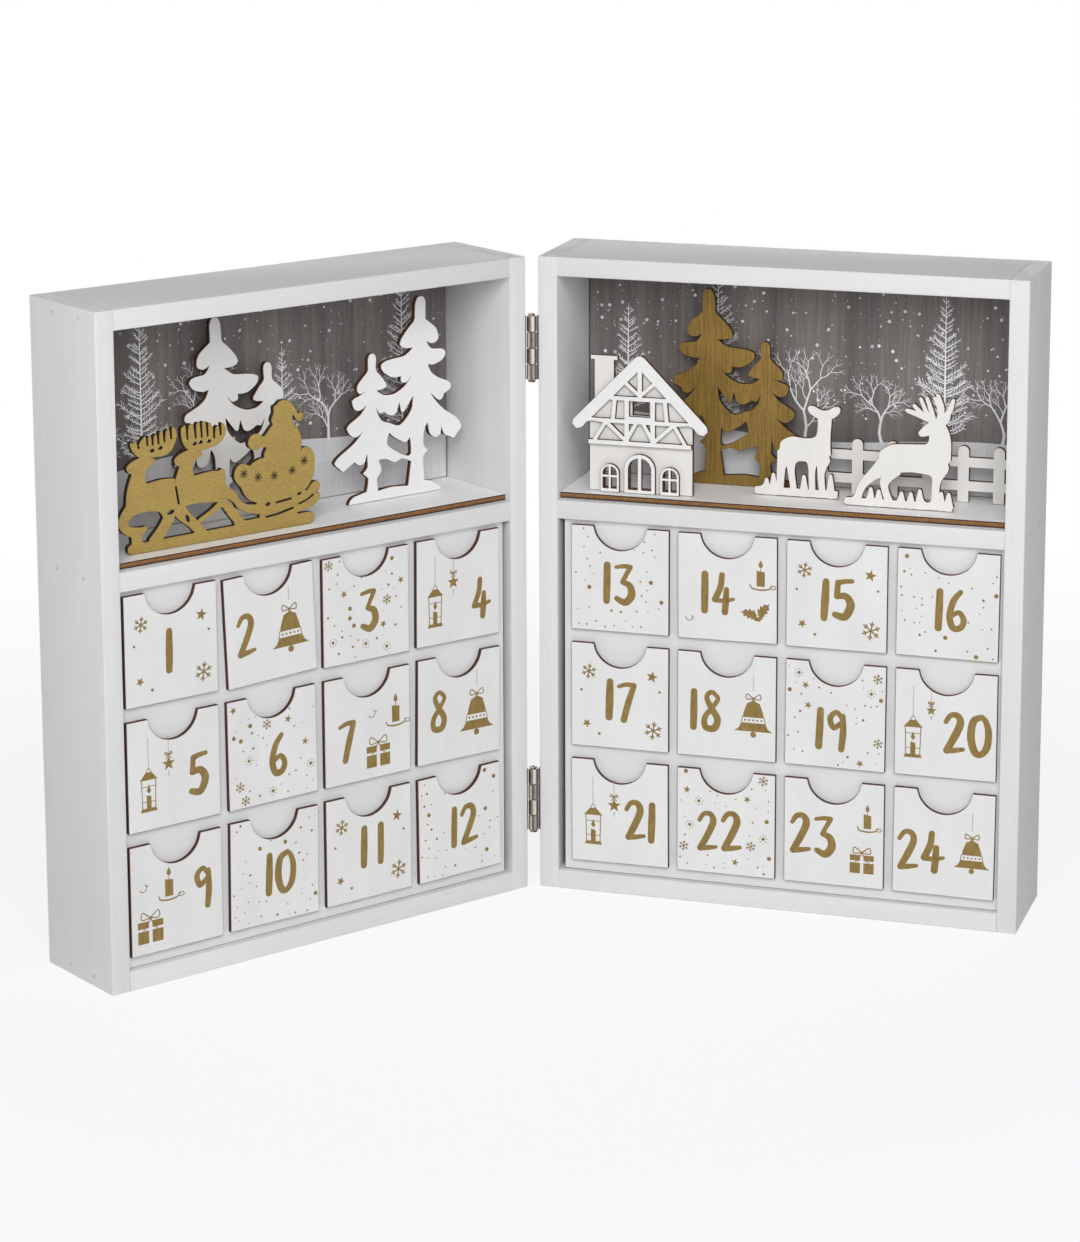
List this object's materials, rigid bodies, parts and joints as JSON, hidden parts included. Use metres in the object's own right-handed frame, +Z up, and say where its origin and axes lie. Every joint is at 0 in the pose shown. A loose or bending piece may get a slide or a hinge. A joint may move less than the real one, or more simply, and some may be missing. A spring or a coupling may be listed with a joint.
{
  "type": "folding advent calendar",
  "caption": "Book-shaped wooden advent calendar: hinged cases with cut-out winter figures above small numbered drawers that slide out.",
  "frame": {"origin": "middle of the bounding box at the level of the surface it stands on", "axes": "+Z up, the open fronts face -Y, +X runs from the left case to the right one with the hinge between them"},
  "size_m": [0.4552, 0.1526, 0.3],
  "materials": {
    "white_paint": "satin white paint over solid wood",
    "white_ply": "matte white paint on thin plywood with burnt laser-cut edges",
    "gold_ply": "matte gold paint on thin plywood with burnt edges",
    "printed_back": "printed dark grey-brown wood grain with a white winter pattern",
    "bare_ply": "bare plywood",
    "nickel": "bright nickel plating"
  },
  "bodies": {
    "left_case": {"left_outer_side": "white_paint", "left_hinge_side": "white_paint", "left_top": "white_paint", "left_bottom": "white_paint", "left_mid_rail": "white_paint", "left_shelf": "white_ply", "left_back_panel": "printed_back", "left_drawer_face": "white_paint", "left_drawer_crate": "bare_ply", "sleigh_team": "gold_ply", "white_trees_far": "white_ply", "white_trees_near": "white_ply", "upper_hinge_left_leaf": "nickel", "lower_hinge_left_leaf": "nickel", "upper_hinge_pin": "nickel", "lower_hinge_pin": "nickel"},
    "right_case": {"right_outer_side": "white_paint", "right_hinge_side": "white_paint", "right_top": "white_paint", "right_bottom": "white_paint", "right_mid_rail": "white_paint", "right_shelf": "white_ply", "right_back_panel": "printed_back", "right_drawer_face": "white_paint", "right_drawer_crate": "bare_ply", "gold_trees": "gold_ply", "house_wall": "white_ply", "house_timbers": "white_ply", "house_door": "white_ply", "house_window_left": "white_ply", "house_window_right": "white_ply", "doe": "white_ply", "stag": "white_ply", "fence": "white_ply", "upper_hinge_right_leaf": "nickel", "lower_hinge_right_leaf": "nickel"},
    "drawer_01": {"drawer_01": "white_ply"},
    "drawer_02": {"drawer_02": "white_ply"},
    "drawer_03": {"drawer_03": "white_ply"},
    "drawer_04": {"drawer_04": "white_ply"},
    "drawer_05": {"drawer_05": "white_ply"},
    "drawer_06": {"drawer_06": "white_ply"},
    "drawer_07": {"drawer_07": "white_ply"},
    "drawer_08": {"drawer_08": "white_ply"},
    "drawer_09": {"drawer_09": "white_ply"},
    "drawer_10": {"drawer_10": "white_ply"},
    "drawer_11": {"drawer_11": "white_ply"},
    "drawer_12": {"drawer_12": "white_ply"},
    "drawer_13": {"drawer_13": "white_ply"},
    "drawer_14": {"drawer_14": "white_ply"},
    "drawer_15": {"drawer_15": "white_ply"},
    "drawer_16": {"drawer_16": "white_ply"},
    "drawer_17": {"drawer_17": "white_ply"},
    "drawer_18": {"drawer_18": "white_ply"},
    "drawer_19": {"drawer_19": "white_ply"},
    "drawer_20": {"drawer_20": "white_ply"},
    "drawer_21": {"drawer_21": "white_ply"},
    "drawer_22": {"drawer_22": "white_ply"},
    "drawer_23": {"drawer_23": "white_ply"},
    "drawer_24": {"drawer_24": "white_ply"}
  },
  "joints": [
    {"name": "fold", "type": "hinge", "parent": "left_case", "child": "right_case", "pos_m": [0, 0.02996, 0.15], "axis": [0, 0, 1], "range_deg": [-124.3, 55.7]},
    {"name": "drawer_01_slide", "type": "slide", "parent": "left_case", "child": "drawer_01", "axis": [0.4672, -0.8842, 0], "range_m": [0, 0.038]},
    {"name": "drawer_02_slide", "type": "slide", "parent": "left_case", "child": "drawer_02", "axis": [0.4672, -0.8842, 0], "range_m": [0, 0.038]},
    {"name": "drawer_03_slide", "type": "slide", "parent": "left_case", "child": "drawer_03", "axis": [0.4672, -0.8842, 0], "range_m": [0, 0.038]},
    {"name": "drawer_04_slide", "type": "slide", "parent": "left_case", "child": "drawer_04", "axis": [0.4672, -0.8842, 0], "range_m": [0, 0.038]},
    {"name": "drawer_05_slide", "type": "slide", "parent": "left_case", "child": "drawer_05", "axis": [0.4672, -0.8842, 0], "range_m": [0, 0.038]},
    {"name": "drawer_06_slide", "type": "slide", "parent": "left_case", "child": "drawer_06", "axis": [0.4672, -0.8842, 0], "range_m": [0, 0.038]},
    {"name": "drawer_07_slide", "type": "slide", "parent": "left_case", "child": "drawer_07", "axis": [0.4672, -0.8842, 0], "range_m": [0, 0.038]},
    {"name": "drawer_08_slide", "type": "slide", "parent": "left_case", "child": "drawer_08", "axis": [0.4672, -0.8842, 0], "range_m": [0, 0.038]},
    {"name": "drawer_09_slide", "type": "slide", "parent": "left_case", "child": "drawer_09", "axis": [0.4672, -0.8842, 0], "range_m": [0, 0.038]},
    {"name": "drawer_10_slide", "type": "slide", "parent": "left_case", "child": "drawer_10", "axis": [0.4672, -0.8842, 0], "range_m": [0, 0.038]},
    {"name": "drawer_11_slide", "type": "slide", "parent": "left_case", "child": "drawer_11", "axis": [0.4672, -0.8842, 0], "range_m": [0, 0.038]},
    {"name": "drawer_12_slide", "type": "slide", "parent": "left_case", "child": "drawer_12", "axis": [0.4672, -0.8842, 0], "range_m": [0, 0.038]},
    {"name": "drawer_13_slide", "type": "slide", "parent": "right_case", "child": "drawer_13", "axis": [-0.4672, -0.8842, 0], "range_m": [0, 0.038]},
    {"name": "drawer_14_slide", "type": "slide", "parent": "right_case", "child": "drawer_14", "axis": [-0.4672, -0.8842, 0], "range_m": [0, 0.038]},
    {"name": "drawer_15_slide", "type": "slide", "parent": "right_case", "child": "drawer_15", "axis": [-0.4672, -0.8842, 0], "range_m": [0, 0.038]},
    {"name": "drawer_16_slide", "type": "slide", "parent": "right_case", "child": "drawer_16", "axis": [-0.4672, -0.8842, 0], "range_m": [0, 0.038]},
    {"name": "drawer_17_slide", "type": "slide", "parent": "right_case", "child": "drawer_17", "axis": [-0.4672, -0.8842, 0], "range_m": [0, 0.038]},
    {"name": "drawer_18_slide", "type": "slide", "parent": "right_case", "child": "drawer_18", "axis": [-0.4672, -0.8842, 0], "range_m": [0, 0.038]},
    {"name": "drawer_19_slide", "type": "slide", "parent": "right_case", "child": "drawer_19", "axis": [-0.4672, -0.8842, 0], "range_m": [0, 0.038]},
    {"name": "drawer_20_slide", "type": "slide", "parent": "right_case", "child": "drawer_20", "axis": [-0.4672, -0.8842, 0], "range_m": [0, 0.038]},
    {"name": "drawer_21_slide", "type": "slide", "parent": "right_case", "child": "drawer_21", "axis": [-0.4672, -0.8842, 0], "range_m": [0, 0.038]},
    {"name": "drawer_22_slide", "type": "slide", "parent": "right_case", "child": "drawer_22", "axis": [-0.4672, -0.8842, 0], "range_m": [0, 0.038]},
    {"name": "drawer_23_slide", "type": "slide", "parent": "right_case", "child": "drawer_23", "axis": [-0.4672, -0.8842, 0], "range_m": [0, 0.038]},
    {"name": "drawer_24_slide", "type": "slide", "parent": "right_case", "child": "drawer_24", "axis": [-0.4672, -0.8842, 0], "range_m": [0, 0.038]}
  ]
}
